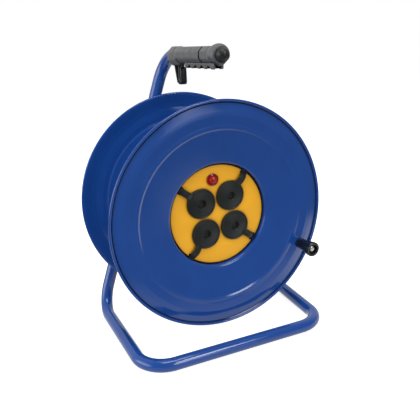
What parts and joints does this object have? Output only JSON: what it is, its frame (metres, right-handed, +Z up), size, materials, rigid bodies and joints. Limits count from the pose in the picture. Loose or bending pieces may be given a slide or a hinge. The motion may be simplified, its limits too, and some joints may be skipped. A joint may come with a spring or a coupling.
{
  "type": "extension cord reel",
  "caption": "Bent tube frame with a grip, carrying a crank-turned steel drum whose front flange holds a panel of covered power sockets and a pilot lamp; the drum is empty.",
  "frame": {"origin": "on the floor, under the middle of the reel's outer box", "axes": "+Z up, -Y towards the socket and crank side, +X to the right seen from that side; the drum turns about an axis along Y"},
  "size_m": [0.3396, 0.25, 0.4336],
  "materials": {
    "blue_paint": "glossy deep blue coating on steel",
    "grip_plastic": "fine-grained dark grey moulding",
    "black_plastic": "smooth black moulding",
    "black_rubber": "soft black rubber",
    "yellow_plastic": "smooth amber yellow moulding",
    "red_lens": "clear red lens",
    "white_nylon": "natural white",
    "zinc": "zinc plated",
    "brass": "bare"
  },
  "bodies": {
    "frame": {"frame_tube": "blue_paint", "grip_rear": "grip_plastic", "grip_front": "grip_plastic", "grip_cap": "black_plastic", "finger_rail": "grip_plastic", "cable_hook": "black_plastic", "spindle": "zinc", "spacer_ring": "white_nylon", "spindle_washer": "zinc", "spindle_nut": "zinc"},
    "drum": {"front_flange": "blue_paint", "rear_flange": "blue_paint", "drum_core": "blue_paint", "cable_gland": "black_plastic", "gland_nut": "black_plastic", "hub_sleeve": "zinc", "rear_bush": "white_nylon", "front_bush": "white_nylon", "socket_panel": "yellow_plastic", "panel_housing": "black_plastic", "lamp_lens": "red_lens", "lamp_body": "white_nylon", "terminal_block": "white_nylon", "crank_bolt": "zinc", "crank_washer": "zinc", "crank_nut": "zinc", "socket_insert_1": "black_plastic", "socket_insert_2": "black_plastic", "socket_insert_3": "black_plastic", "socket_insert_4": "black_plastic", "earth_clip_1": "brass", "earth_clip_2": "brass", "earth_clip_3": "brass", "earth_clip_4": "brass", "panel_screw_1": "zinc", "panel_screw_2": "zinc", "panel_screw_3": "zinc", "panel_screw_4": "zinc", "live_bus": "brass", "earth_bus": "brass", "neutral_bus": "brass"},
    "crank": {"crank_knob": "black_plastic"},
    "cover_1": {"socket_cover_1": "black_rubber"},
    "cover_2": {"socket_cover_2": "black_rubber"},
    "cover_3": {"socket_cover_3": "black_rubber"},
    "cover_4": {"socket_cover_4": "black_rubber"}
  },
  "joints": [
    {"name": "drum_spin", "type": "hinge", "parent": "frame", "child": "drum", "pos_m": [0, 0.01455, 0.191], "axis": [0, 1, 0], "continuous": true},
    {"name": "knob_spin", "type": "hinge", "parent": "drum", "child": "crank", "pos_m": [0.13347, 0.01455, 0.1259], "axis": [0, 1, 0], "continuous": true},
    {"name": "cover_1_lift", "type": "hinge", "parent": "drum", "child": "cover_1", "pos_m": [0.04464, -0.04885, 0.24813], "axis": [-0.788, 0, 0.6157], "range_deg": [0, 90]},
    {"name": "cover_2_lift", "type": "hinge", "parent": "drum", "child": "cover_2", "pos_m": [-0.05713, -0.04885, 0.23564], "axis": [-0.6157, 0, -0.788], "range_deg": [0, 90]},
    {"name": "cover_3_lift", "type": "hinge", "parent": "drum", "child": "cover_3", "pos_m": [-0.04464, -0.04885, 0.13387], "axis": [0.788, 0, -0.6157], "range_deg": [0, 90]},
    {"name": "cover_4_lift", "type": "hinge", "parent": "drum", "child": "cover_4", "pos_m": [0.05713, -0.04885, 0.14636], "axis": [0.6157, 0, 0.788], "range_deg": [0, 90]}
  ]
}
